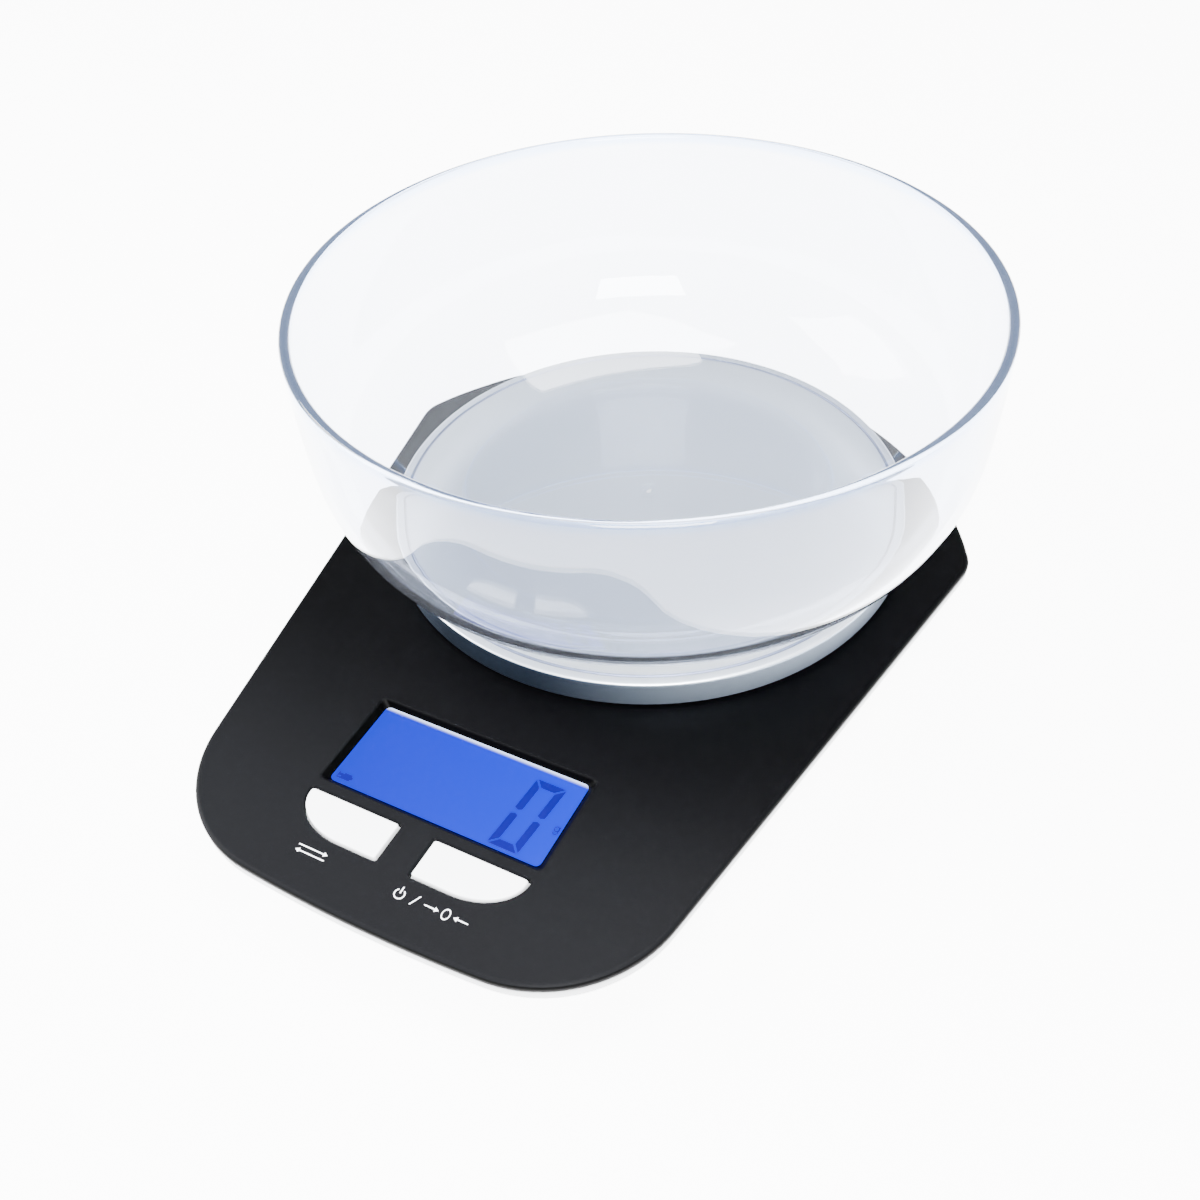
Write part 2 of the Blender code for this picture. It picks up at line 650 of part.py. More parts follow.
def circuit_board():
    """Board with its chip, clock crystal and capacitor, hung from the cover by four screws."""
    front, back = AXIS_Y - 130.0, AXIS_Y - 84.8
    low = BOARD_TOP - BOARD_THICKNESS
    board = make(
        "circuit_board",
        prism(rounded([(-40, front, 6), (40, front, 6), (40, back, 1.5), (-40, back, 1.5)]), low, BOARD_TOP),
        "board_green",
    )
    cut(board, *[moved(rod(1.3, 10, 18, 12), x, y + AXIS_Y) for x, y in BOARD_SCREWS])
    for name, (x, y) in zip(CORNERS, BOARD_SCREWS):
        make(f"board_screw_{name}", moved(screw(2.0, 0.9, low - TOUCH, low - 1.4, 18.5, 10), x, y + AXIS_Y), "steel")
    under = low - TOUCH
    dome = lathe([(0, -1.9), (3.0, -1.75), (5.2, -1.2), (6.2, -0.3), (6.3, 0), (0, 0)], 16)
    make("chip_cover", moved(dome, 8, AXIS_Y - 106, under), "chip_resin")
    can = moved(turned(rod(1.5, -3.5, 3.5, 16), Matrix.Rotation(math.pi / 2, 4, "Y")), -9, AXIS_Y - 112, under - 1.55)
    make("clock_crystal", can, "steel")
    make("capacitor", moved(rod(2.5, under - 4.6, under, 20), -14, AXIS_Y - 98), "chip_resin")


def keys():
    """Two keys with a flange under the cover, each on the plunger of a small switch."""
    for name, side in (("unit", -1), ("tare", 1)):
        x, y = side * 15.0, AXIS_Y - KEY_BACK - KEY_LENGTH / 2
        flange_top = COVER_CEILING - TOUCH
        flange_bottom = flange_top - 1.1
        plan, wide = key_outline(side), key_outline(side, 0.75)
        inner = key_outline(side, -0.45)
        rings = [
            [(a, b, flange_bottom) for a, b in wide],
            [(a, b, flange_top) for a, b in wide],
            [(a, b, flange_top + 0.01) for a, b in plan],
            [(a, b, BODY_TOP + KEY_RAISED - 0.35) for a, b in plan],
            [(a, b, BODY_TOP + KEY_RAISED) for a, b in inner],
        ]
        key = make(f"{name}_key", loft(rings), "key_white", (x, y, BODY_TOP))
        plunger_top = BOARD_TOP + 2.9
        join(key, moved(rod(1.9, plunger_top + TOUCH, flange_bottom + 0.5, 16), x, y))
        case = make(f"{name}_switch", block(x - 3, x + 3, y - 3, y + 3, BOARD_TOP + TOUCH, BOARD_TOP + 2.1), "chip_resin")
        cut(case, moved(rod(1.7, BOARD_TOP + 0.8, BOARD_TOP + 4, 16), x, y))
        plunger = moved(rod(1.4, BOARD_TOP + 1.6, plunger_top, 16), x, y)
        make(f"{name}_plunger", plunger, "grey_plastic", (x, y, plunger_top))


def wires():
    """Leads from the cell and the batteries, over the bay to the board's back corners."""
    over = BAY_ROOF + 1.4
    cell = [(4.7, -9, CELL_TOP + 0.9), (10.5, -10.5, CELL_TOP + 1.0), (13, -18, 17.2), (15, -38, 17.6), (20, -58, over)]
    cell += [(28, -77, over), (35.0, -82.2, over - 0.6), (37.8, -86.4, BOARD_TOP + 2.2)]
    cell.append((37.8, -87.0, BOARD_TOP + 0.8))
    wall = BAY_HALF_LENGTH + BAY_WALL + 0.8
    leads = {
        "cell_cable": (cell, 0.75, "wire_black"),
        "battery_lead_red": (
            [(-wall, -71, 11), (-wall - 0.6, -76, 14), (-35.5, -82.6, 16.8), (-37.6, -86.6, BOARD_TOP + 0.75)],
            0.6,
            "wire_red",
        ),
        "battery_lead_black": (
            [(-wall, -58, 11), (-wall - 0.8, -68, 15.5), (-33.6, -80.6, 18.2), (-35.2, -86.6, BOARD_TOP + 0.75)],
            0.6,
            "wire_black",
        ),
    }
    for name, (path, radius, slot) in leads.items():
        path = smooth_path([(x, y + AXIS_Y, z) for x, y, z in path], 3)
        make(name, tube(path, radius, 6), slot)


clear_scene()
top_cover()
lower_shell()
battery_door()
batteries()
feet_and_case_screws()
weighing_cell()
platform()
bowl()
display()
circuit_board()
keys()
wires()
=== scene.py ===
import json
import math

import bpy
from mathutils import Matrix, Vector


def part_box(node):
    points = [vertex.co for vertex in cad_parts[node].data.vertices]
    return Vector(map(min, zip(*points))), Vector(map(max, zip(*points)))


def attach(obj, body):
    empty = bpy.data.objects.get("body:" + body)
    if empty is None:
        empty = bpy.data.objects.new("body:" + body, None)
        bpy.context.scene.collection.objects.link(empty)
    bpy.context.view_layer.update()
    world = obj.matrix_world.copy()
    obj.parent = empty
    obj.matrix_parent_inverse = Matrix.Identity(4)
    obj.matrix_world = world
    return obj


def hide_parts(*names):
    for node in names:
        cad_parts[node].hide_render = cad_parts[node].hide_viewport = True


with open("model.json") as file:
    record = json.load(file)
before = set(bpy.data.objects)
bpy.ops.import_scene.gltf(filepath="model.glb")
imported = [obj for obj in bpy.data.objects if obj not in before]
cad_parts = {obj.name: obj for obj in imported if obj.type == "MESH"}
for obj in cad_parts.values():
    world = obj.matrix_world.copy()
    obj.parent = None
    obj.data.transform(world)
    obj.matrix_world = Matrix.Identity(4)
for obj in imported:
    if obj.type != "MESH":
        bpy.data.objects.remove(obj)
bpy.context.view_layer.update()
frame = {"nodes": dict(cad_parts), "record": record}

# ---------------------------------------------------------------- camera
# The view is from the front right, well above the table. The camera is placed from
# the platform's axis at the height of the body's top, and looks along three angles.
MM = 0.001
platform_low, platform_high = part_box("platform_cover")
AXIS_Y = (platform_low.y + platform_high.y) / 2 / MM
BODY_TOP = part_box("top_cover")[1].z / MM

azimuth, elevation, roll = (math.radians(a) for a in (29.764, 44.323, -3.449))
backward = Vector(
    (
        math.sin(azimuth) * math.cos(elevation),
        -math.cos(azimuth) * math.cos(elevation),
        math.sin(elevation),
    )
)
level_right = (-backward).cross(Vector((0, 0, 1))).normalized()
level_up = level_right.cross(-backward)
right = level_right * math.cos(roll) + level_up * math.sin(roll)
up = level_up * math.cos(roll) - level_right * math.sin(roll)
lens = bpy.data.cameras.new("camera")
lens.lens = 36.82
lens.sensor_width = 36.0
camera = bpy.data.objects.new("camera", lens)
camera.matrix_world = Matrix.Translation(
    Vector((116.8, AXIS_Y - 234.4, BODY_TOP + 224.0)) * MM
) @ Matrix((right, up, backward)).transposed().to_4x4()
bpy.context.scene.collection.objects.link(camera)
bpy.context.scene.camera = camera


# ---------------------------------------------------------------- table and light
# A pale table that glows a little, as a white sweep does under studio lamps, with a
# soft room light and three large lamps. None of it belongs to the object.
class Wire:
    """One output of a shader node. Arithmetic on it adds Math nodes."""

    def __init__(self, finish, socket):
        self.finish, self.socket = finish, socket

    def math(self, operation, *values):
        return self.finish.node("ShaderNodeMath", {"operation": operation}, dict(enumerate(values)))

    def __add__(self, other):
        return self.math("ADD", self, other)

    def __sub__(self, other):
        return self.math("SUBTRACT", self, other)

    def __mul__(self, other):
        return self.math("MULTIPLY", self, other)

    def __truediv__(self, other):
        return self.math("DIVIDE", self, other)

    def __pow__(self, other):
        return self.math("POWER", self, other)

    def __gt__(self, other):
        return self.math("GREATER_THAN", self, other)

    def __lt__(self, other):
        return self.math("LESS_THAN", self, other)

    __radd__ = __add__


class Finish:
    """One surface finish: a material whose shader takes plain values, and Wires where it varies."""

    def __init__(self, name, values):
        self.material = bpy.data.materials.new(name)
        self.material.use_nodes = True
        self.tree = self.material.node_tree
        self.shader = self.tree.nodes["Principled BSDF"]
        self.give(self.shader, values)

    def give(self, node, values):
        for key, value in values.items():
            if isinstance(value, Wire):
                self.tree.links.new(value.socket, node.inputs[key])
            else:
                node.inputs[key].default_value = value

    def set(self, values):
        self.give(self.shader, values)

    def node(self, kind, settings, values, out=0):
        made = self.tree.nodes.new(kind)
        for key, value in settings.items():
            setattr(made, key, value)
        self.give(made, values)
        return Wire(self, made.outputs[out])

    def place(self):
        return self.node("ShaderNodeTexCoord", {}, {}, "Object")

    def axis(self, letter):
        return self.node("ShaderNodeSeparateXYZ", {}, {0: self.place()}, letter)

    def noise(self, per_metre, detail=2.0, roughness=0.5):
        values = {"Vector": self.place(), "Scale": per_metre, "Detail": detail, "Roughness": roughness}
        return self.node("ShaderNodeTexNoise", {}, values)

    def ramp(self, value, start, end):
        """Rises smoothly from 0 at the start to 1 at the end."""
        ends = {"Value": value, "From Min": start, "From Max": end}
        return self.node("ShaderNodeMapRange", {"interpolation_type": "SMOOTHSTEP"}, ends)

    def mix(self, factor, first, second):
        return self.node("ShaderNodeMix", {"data_type": "RGBA"}, {0: factor, 6: first, 7: second}, 2)

    def bump(self, height, distance, strength=0.5):
        values = {"Height": height, "Distance": distance, "Strength": strength}
        return self.node("ShaderNodeBump", {}, values)


def new_object(name, points, faces, finish=None):
    mesh = bpy.data.meshes.new(name)
    mesh.from_pydata([[c * MM for c in p] for p in points], [], faces)
    if finish:
        mesh.materials.append(finish.material)
    made = bpy.data.objects.new(name, mesh)
    bpy.context.scene.collection.objects.link(made)
    return made


table_finish = Finish(
    "table", {"Roughness": 0.9, "Emission Color": (1, 1, 1, 1), "Emission Strength": 8.0}
)
speckle = table_finish.noise(60, 3.0)
table_finish.set({"Base Color": table_finish.mix(speckle, (0.44, 0.44, 0.44, 1), (0.48, 0.48, 0.48, 1))})
span = 3000.0
corners = [(-span, -span, 0), (span, -span, 0), (span, span, 0), (-span, span, 0)]
table = new_object("table", corners, [(0, 1, 2, 3)], table_finish)

world = bpy.data.worlds.new("room")
world.use_nodes = True
world.node_tree.nodes["Background"].inputs["Color"].default_value = (0.88, 0.93, 1.0, 1)
world.node_tree.nodes["Background"].inputs["Strength"].default_value = 1.6
bpy.context.scene.world = world


def lamp(name, watts, size, place, aim):
    light = bpy.data.lights.new(name, "AREA")
    light.energy, light.size = watts, size
    made = bpy.data.objects.new(name, light)
    made.location = place
    made.rotation_euler = (Vector(aim) - Vector(place)).to_track_quat("-Z", "Y").to_euler()
    bpy.context.scene.collection.objects.link(made)


lamp("key_lamp", 110, 0.7, (0.5, -0.9, 1.1), (0, 0, 0.02))
lamp("fill_lamp", 64, 0.9, (-1.1, -0.3, 0.9), (0, 0, 0.02))
lamp("top_lamp", 56, 0.8, (0.1, 0.2, 1.4), (0, 0, 0.02))


# ---------------------------------------------------------------- lower shell
# Moulded white shell: a short upright edge that shows under the black cover, and an
# underside that curves in to a flat floor with the battery bay and four screw bosses.
FRONT_REACH = 142.3
FRONT_R, FRONT_CORNER_R = 410.0, 34.0
FRONT_HALF_WIDTH, FRONT_HALF_WIDTH_AT = 61.0, 28.4
SIDE_SLOPE = 0.188
BACK_R, BACK_CENTRE, BACK_CORNER_R = 93.0, -18.0, 11.0
COVER_EDGE = 2.0
BAY_HALF_LENGTH, BAY_HALF_WIDTH, BAY_Y = 26.2, 12.9, AXIS_Y - 66.5
BAY_WALL, BAY_ROOF, BAY_CEILING = 2.0, 17.2, 16.0
SHELL_BOTTOM, SHELL_FLOOR = 2.2, 4.1
FOOT_SEAT = 3.1
CASE_SCREWS = [(x, y + AXIS_Y) for x, y in ((-39, -76), (39, -76), (-52, -8), (52, -8))]
FEET = [(x, y + AXIS_Y) for x, y in ((-31, -106), (31, -106), (-40, 28), (40, 28))]
CORNERS = ("front_left", "front_right", "back_left", "back_right")


def arc(centre, radius, start, end, steps):
    """Points from one angle to another, in degrees, without the last."""
    angles = [math.radians(start + (end - start) * i / steps) for i in range(steps)]
    return [(centre[0] + radius * math.cos(a), centre[1] + radius * math.sin(a)) for a in angles]


def corner_centre(circle_y, circle_r, normal, distance, corner_r, towards):
    """Centre of a corner that touches the side and, from inside, a circle centred on x = 0."""
    middle = Vector((0.0, circle_y))
    off = distance - corner_r - normal.dot(middle)
    reach = math.sqrt((circle_r - corner_r) ** 2 - off**2)
    return middle + normal * off + Vector((-normal.y, normal.x)) * towards * reach


def body_outline(inset):
    """The body's plan, moved in by a distance. Every inset gives the same number of points."""
    normal = Vector((1.0, -SIDE_SLOPE)).normalized()
    distance = normal.dot(Vector((FRONT_HALF_WIDTH, FRONT_HALF_WIDTH_AT - FRONT_REACH))) - inset
    side_angle = math.degrees(math.atan2(normal.y, normal.x))
    front_y = FRONT_R - FRONT_REACH
    near_r, far_r = max(FRONT_CORNER_R - inset, 3.0), max(BACK_CORNER_R - inset, 3.0)
    near = corner_centre(front_y, FRONT_R - inset, normal, distance, near_r, -1)
    far = corner_centre(BACK_CENTRE, BACK_R - inset, normal, distance, far_r, 1)
    near_angle = math.degrees(math.atan2(near.y - front_y, near.x))
    far_angle = math.degrees(math.atan2(far.y - BACK_CENTRE, far.x))
    half = arc((0, front_y), FRONT_R - inset, -90, near_angle, 10)
    half += arc(near, near_r, near_angle, side_angle, 20)
    start, end = near + normal * near_r, far + normal * far_r
    half += [tuple(start.lerp(end, i / 12)) for i in range(12)]
    half += arc(far, far_r, side_angle, far_angle, 14)
    half += arc((0, BACK_CENTRE), BACK_R - inset, far_angle, 90, 24)
    half.append((0.0, BACK_CENTRE + BACK_R - inset))
    return [(x, y + AXIS_Y) for x, y in half + [(-x, y) for x, y in half[-2:0:-1]]]


def loft(rings):
    """Closed rings of equal length joined in order, with a flat face on the first and last."""
    size = len(rings[0])
    faces = [list(range(size))[::-1], [(len(rings) - 1) * size + i for i in range(size)]]
    for row in range(len(rings) - 1):
        low, high = row * size, (row + 1) * size
        for i in range(size):
            j = (i + 1) % size
            faces.append([low + i, low + j, high + j, high + i])
    return [p for ring in rings for p in ring], faces


def body_loft(profile):
    return loft([[(x, y, z) for x, y in body_outline(inset)] for inset, z in profile])


def prism(outline, bottom, top):
    return loft([[(x, y, z) for x, y in outline] for z in (bottom, top)])


def block(x0, x1, y0, y1, z0, z1):
    return prism([(x0, y0), (x1, y0), (x1, y1), (x0, y1)], z0, z1)


def lathe(profile, count, x, y):
    """A solid turned about an upright axis, from (radius, height) pairs that start and end on it."""
    points, rows = [], []
    turn = 2 * math.pi / count
    for radius, z in profile:
        size = 1 if radius == 0 else count
        rows.append((len(points), size))
        for i in range(size):
            points.append((x + radius * math.cos(i * turn), y + radius * math.sin(i * turn), z))
    faces = []
    for (low, low_size), (high, high_size) in zip(rows, rows[1:]):
        for i in range(count):
            j = (i + 1) % count
            quad = [low + i % low_size, low + j % low_size, high + j % high_size, high + i % high_size]
            faces.append(list(dict.fromkeys(quad)))
    return points, faces


def rod(radius, bottom, top, x=0.0, y=0.0):
    return lathe([(0, bottom), (radius, bottom), (radius, top), (0, top)], 48, x, y)


def applied(piece):
    """The piece with its modifiers made part of its mesh."""
    graph = bpy.context.evaluated_depsgraph_get()
    mesh = bpy.data.meshes.new_from_object(piece.evaluated_get(graph))
    piece.modifiers.clear()
    piece.data = mesh
    return piece


def carve(piece, operation, shapes):
    """Adds or takes away several closed shapes that don't touch each other."""
    points, faces = [], []
    for more_points, more_faces in shapes:
        start = len(points)
        points += more_points
        faces += [[start + i for i in face] for face in more_faces]
    helper = new_object("helper", points, faces)
    step = piece.modifiers.new("carve", "BOOLEAN")
    step.operation, step.solver, step.object = operation, "EXACT", helper
    bpy.context.view_layer.update()
    applied(piece)
    bpy.data.objects.remove(helper)


def shade(piece, angle, edge=0.0):
    """Rounds the hard edges a little, then shades smoothly between the ones that stay sharp."""
    if edge:
        soft = piece.modifiers.new("edges", "BEVEL")
        soft.width, soft.segments, soft.angle_limit = edge * MM, 2, math.radians(35)
    piece.data.polygons.foreach_set("use_smooth", [True] * len(piece.data.polygons))
    bpy.context.view_layer.update()
    applied(piece)
    piece.data.set_sharp_from_angle(angle=math.radians(angle))
    even = piece.modifiers.new("normals", "WEIGHTED_NORMAL")
    even.keep_sharp = True
    bpy.context.view_layer.update()
    return applied(piece)


def belongs(piece, body, slot, *replaced):
    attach(piece, body)
    if replaced:
        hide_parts(*replaced)


white_finish = Finish("white plastic", {"IOR": 1.5, "Coat Weight": 0.15, "Coat Roughness": 0.25})
grain = white_finish.noise(2600)
mottle = white_finish.noise(45, 3.0)
# The white plastic is painted a mid grey, far darker than the keys, as painted shade on the shell's edge
# under the cover.
white_finish.set(
    {
        "Base Color": white_finish.mix(mottle, (0.36, 0.365, 0.375, 1), (0.42, 0.425, 0.435, 1)),
        "Roughness": 0.34 + grain * 0.12,
        "Normal": white_finish.bump(grain, 0.00002),
    }
)

rim = BODY_TOP - COVER_EDGE - 0.3
outside = [(28.0, SHELL_BOTTOM), (24.0, 2.8), (18.0, 4.7), (13.8, 6.5), (10.0, 8.6), (7.1, 10.5)]
outside += [(4.6, 12.4), (3.1, 13.6), (1.9, 14.7), (1.2, 15.5), (0.8, 16.2), (0.4, 17.1), (0.15, 18.2)]
outside += [(0.1, rim - 0.5), (0.2, rim - 0.15), (0.5, rim)]
inside = [(2.3, rim), (2.4, 16.9), (3.3, 16.0), (6.0, 13.8), (11.2, 10.2), (18.9, 6.5), (24.6, 4.7)]
inside += [(28.4, SHELL_FLOOR)]
shell = new_object("lower_shell_moulding", *body_loft(outside + inside), white_finish)
bay_x, bay_y = BAY_HALF_LENGTH + BAY_WALL, BAY_HALF_WIDTH + BAY_WALL
bay = block(-bay_x, bay_x, BAY_Y - bay_y, BAY_Y + bay_y, SHELL_BOTTOM + 0.4, BAY_ROOF)
carve(shell, "UNION", [bay] + [rod(4.2, 3.5, 6.7, x, y) for x, y in CASE_SCREWS])
bay_front, bay_back = BAY_Y - BAY_HALF_WIDTH, BAY_Y + BAY_HALF_WIDTH
room = block(-BAY_HALF_LENGTH, BAY_HALF_LENGTH, bay_front, bay_back, SHELL_BOTTOM - 1, BAY_CEILING)
head_recesses = [rod(3.2, 1.0, 4.9, x, y) for x, y in CASE_SCREWS]
foot_recesses = [rod(6.25, 1.0, FOOT_SEAT, x, y) for x, y in FEET]
carve(shell, "DIFFERENCE", [room, *head_recesses, *foot_recesses])
screw_bores = [rod(1.7, 4.0, 7.5, x, y) for x, y in CASE_SCREWS]
finger_dip = rod(5.0, 1.0, 3.2, 0, bay_front - 1)
carve(shell, "DIFFERENCE", [*screw_bores, finger_dip])
shade(shell, 30)
belongs(shell, "base", "white_plastic", "lower_shell")


# ---------------------------------------------------------------- top cover
# Moulded black cover with a fine spark-eroded texture. It has a softly rounded edge, a
# sloped well down to the display, two openings for the keys and one for the riser.
COVER_PLATE = 1.8
CEILING = BODY_TOP - COVER_PLATE
WINDOW_HALF, WINDOW_BACK, WINDOW_FRONT = 29.7, 87.5, 114.4
KEY_BACK, KEY_LENGTH, KEY_INNER, KEY_OUTER = 117.4, 9.8, 4.7, 28.5
KEY_CURVE, KEY_CORNER, KEY_GAP = 14.0, 0.7, 0.45
BOARD_TOP = 15.0
BOARD_SCREWS = [(side * 36.6, y + AXIS_Y) for y in (-120, -97) for side in (-1, 1)]
EDGE_ROUND = 1.1

black_finish = Finish("black plastic", {"IOR": 1.5, "Specular IOR Level": 0.03})
grit = black_finish.noise(5200, 3.0, 0.65)
cloud = black_finish.noise(22)
# The cover's upright sides take an almost black colour, darker than its top, as painted shade.
top_side = black_finish.axis("Z") > (BODY_TOP - 0.4) * MM
# The top is painted lighter towards the front as a painted sheen and darker towards the platform as
# painted shade; the grit speckle is the cover's texture.
painted_sheen_to_front = black_finish.ramp(black_finish.axis("Y"), -0.030, -0.108)
fine = black_finish.mix(grit, (0.0022, 0.0023, 0.0027, 1), (0.0048, 0.0050, 0.0058, 1))
top_with_painted_sheen = black_finish.mix(painted_sheen_to_front, (0.0003, 0.0003, 0.0005, 1), fine)
black_finish.set(
    {
        "Base Color": black_finish.mix(top_side, (0.0001, 0.0001, 0.0001, 1), top_with_painted_sheen),
        "Roughness": 0.36 + grit * 0.16 + cloud * 0.05,
        "Normal": black_finish.bump(grit, 0.00004, 0.55),
    }
)


def key_outline(side, grow):
    """A key's plan: square towards the middle, one long oval curve at its outer front."""
    steps = 24
    inner, outer = KEY_INNER - grow, KEY_OUTER + grow
    front, back = AXIS_Y - KEY_BACK - KEY_LENGTH - grow, AXIS_Y - KEY_BACK + grow
    wide, deep = KEY_CURVE + grow, back - front - KEY_CORNER
    plan = arc((inner + KEY_CORNER, front + KEY_CORNER), KEY_CORNER, 180, 270, 5)
    plan.append((inner + KEY_CORNER, front))
    for i in range(steps + 1):
        a = math.radians(-90 + 90 * i / steps)
        plan.append((outer - wide + wide * math.cos(a), back - KEY_CORNER + deep * math.sin(a)))
    plan += arc((outer - KEY_CORNER, back - KEY_CORNER), KEY_CORNER, 15, 90, 4)
    plan.append((outer - KEY_CORNER, back))
    plan += arc((inner + KEY_CORNER, back - KEY_CORNER), KEY_CORNER, 90, 180, 5)
    return plan if side > 0 else [(-x, y) for x, y in plan[::-1]]


def rounded_box(half, front, back, radius, steps=6):
    """A rectangle centred on x = 0 with rounded corners."""
    plan = []
    centres = [(half, front, 270), (half, back, 0), (-half, back, 90), (-half, front, 180)]
    for x, y, start in centres:
        centre = (x - math.copysign(radius, x), y + (radius if y == front else -radius))
        plan += arc(centre, radius, start, start + 90, steps)
        last = math.radians(start + 90)
        plan.append((centre[0] + radius * math.cos(last), centre[1] + radius * math.sin(last)))
    return plan


edge_bottom = BODY_TOP - COVER_EDGE
edge = [(4.3, CEILING), (4.3, edge_bottom - 3), (2.9, edge_bottom - 3), (2.9, edge_bottom)]
edge += [(0.25, edge_bottom), (0.08, edge_bottom + 0.12), (0.0, edge_bottom + 0.5), (0.0, BODY_TOP - 1.0)]
for degrees in range(12, 90, 13):
    a = math.radians(degrees)
    edge.append((EDGE_ROUND * (1 - math.cos(a)), BODY_TOP - EDGE_ROUND * (1 - math.sin(a))))
edge += [(EDGE_ROUND, BODY_TOP), (2 * EDGE_ROUND, BODY_TOP)]
cover = new_object("top_cover_moulding", *body_loft(edge), black_finish)
back_y, front_y = AXIS_Y - WINDOW_BACK, AXIS_Y - WINDOW_FRONT
well = []
for half, front, back, z in (
    (WINDOW_HALF - 2.8, front_y + 2.6, back_y - 1.6, CEILING - 1.0),
    (WINDOW_HALF - 1.75, front_y + 1.7, back_y - 1.0, CEILING),
    (WINDOW_HALF - 0.55, front_y + 0.6, back_y - 0.35, BODY_TOP - 0.6),
    (WINDOW_HALF - 0.2, front_y + 0.25, back_y - 0.12, BODY_TOP - 0.2),
    (WINDOW_HALF + 0.25, front_y - 0.15, back_y + 0.25, BODY_TOP),
    (WINDOW_HALF + 0.5, front_y - 0.4, back_y + 0.5, BODY_TOP + 0.4),
):
    well.append([(x, y, z) for x, y in rounded_box(half, front, back, 1.3)])
riser_opening = block(-13, 13, AXIS_Y - 42, AXIS_Y - 14, CEILING - 2.2, BODY_TOP + 2)
openings = [loft(well), riser_opening]
for side in (-1, 1):
    rings = [(KEY_GAP, CEILING - 2), (KEY_GAP, BODY_TOP - 0.35)]
    rings += [(KEY_GAP + 0.3, BODY_TOP), (KEY_GAP + 0.3, BODY_TOP + 1)]
    openings.append(loft([[(x, y, z) for x, y in key_outline(side, grow)] for grow, z in rings]))
carve(cover, "DIFFERENCE", openings)
posts = [rod(3.2, 7.0, CEILING + 0.9, x, y) for x, y in CASE_SCREWS]
posts += [rod(2.4, BOARD_TOP + 0.05, CEILING + 0.9, x, y) for x, y in BOARD_SCREWS]
carve(cover, "UNION", posts)
bores = [rod(1.45, 6.0, 16.5, x, y) for x, y in CASE_SCREWS]
bores += [rod(1.05, 14.0, 19.0, x, y) for x, y in BOARD_SCREWS]
carve(cover, "DIFFERENCE", bores)
shade(cover, 40)
belongs(cover, "base", "black_plastic", "top_cover")


# ---------------------------------------------------------------- platform
# Round silver platform: a moulded cover with metallic paint, sharp at its upper edge,
# with a fine groove just inside the rim. It clips over the carrier plate.
PLATFORM_R, PLATFORM_H = 70.0, 8.3
PLATFORM_TOP = BODY_TOP + PLATFORM_H

silver_finish = Finish("silver paint", {"IOR": 1.45, "Specular IOR Level": 0.3, "Coat Roughness": 0.2})
flake = silver_finish.noise(9000, 1.0)
sweep = silver_finish.noise(14)
# The upright flank is painted far darker than the top, darkest in the middle, medium to the left and
# lighter to the right, as painted reflection of the black cover and painted shade.
above = silver_finish.axis("Z") > (PLATFORM_TOP - 0.35) * MM
painted_light_to_right = silver_finish.ramp(silver_finish.axis("X"), 0.0, 0.062)
painted_reflection_to_left = silver_finish.ramp(silver_finish.axis("X"), -0.02, -0.06)
flank_painted_shade = silver_finish.mix(painted_reflection_to_left, (0.03, 0.042, 0.066, 1), (0.20, 0.25, 0.33, 1))
flank_painted_reflection = silver_finish.mix(painted_light_to_right, flank_painted_shade, (0.36, 0.43, 0.53, 1))
plain = silver_finish.mix(flake, (0.80, 0.84, 0.84, 1), (0.93, 0.97, 0.97, 1))
off_axis = silver_finish.axis("Y") - AXIS_Y * MM
from_axis = (silver_finish.axis("X") ** 2.0 + off_axis**2.0) ** 0.5
# A dark ring is painted over the groove as painted shade.
groove = (from_axis > 0.0670) * (from_axis < 0.0679)
rim_band_with_painted_groove_shade = silver_finish.mix(groove, (0.80, 0.84, 0.88, 1), (0.20, 0.23, 0.33, 1))
top_face = silver_finish.mix(from_axis > 0.0662, plain, rim_band_with_painted_groove_shade)
silver_finish.set(
    {
        "Base Color": silver_finish.mix(above, flank_painted_reflection, top_face),
        "Metallic": 0.85,
        "Roughness": 0.33 + sweep * 0.08 + flake * 0.06,
        "Coat Weight": 0.05,
        "Normal": silver_finish.bump(flake, 0.00002, 0.4),
    }
)
low = BODY_TOP + 0.8
r = PLATFORM_R
silver_profile = [
    (0, PLATFORM_TOP - 2.0),
    (r - 4.0, PLATFORM_TOP - 2.0),
    (r - 1.9, PLATFORM_TOP - 3.6),
    (r - 1.9, low),
    (r - 0.5, low),
    (r - 0.15, low + 0.12),
    (r, low + 0.45),
    (r + 0.15, low + 3.0),
    (r + 0.28, PLATFORM_TOP - 1.2),
    (r + 0.3, PLATFORM_TOP - 0.75),
    (r + 0.22, PLATFORM_TOP - 0.4),
    (r + 0.02, PLATFORM_TOP - 0.14),
    (r - 0.35, PLATFORM_TOP),
    (r - 2.1, PLATFORM_TOP),
    (r - 2.25, PLATFORM_TOP - 0.07),
    (r - 2.5, PLATFORM_TOP - 0.25),
    (r - 2.75, PLATFORM_TOP - 0.07),
    (r - 2.9, PLATFORM_TOP),
    (r - 8.0, PLATFORM_TOP),
    (0, PLATFORM_TOP),
]
platform = new_object("platform_shell", *lathe(silver_profile, 192, 0, AXIS_Y), silver_finish)
shade(platform, 40)
belongs(platform, "platform", "silver_paint", "platform_cover")


# ---------------------------------------------------------------- bowl
# Clear moulded bowl with a flat base, a full lower curve and an upright wall to a
# rounded rim. The mark of the mould's gate stands in the middle of its floor.
BOWL_R, BOWL_H, BOWL_WALL, BOWL_RIM, BOWL_FLAT_R = 87.0, 72.0, 2.0, 2.7, 46.0
GATE_MARK_R = 2.2

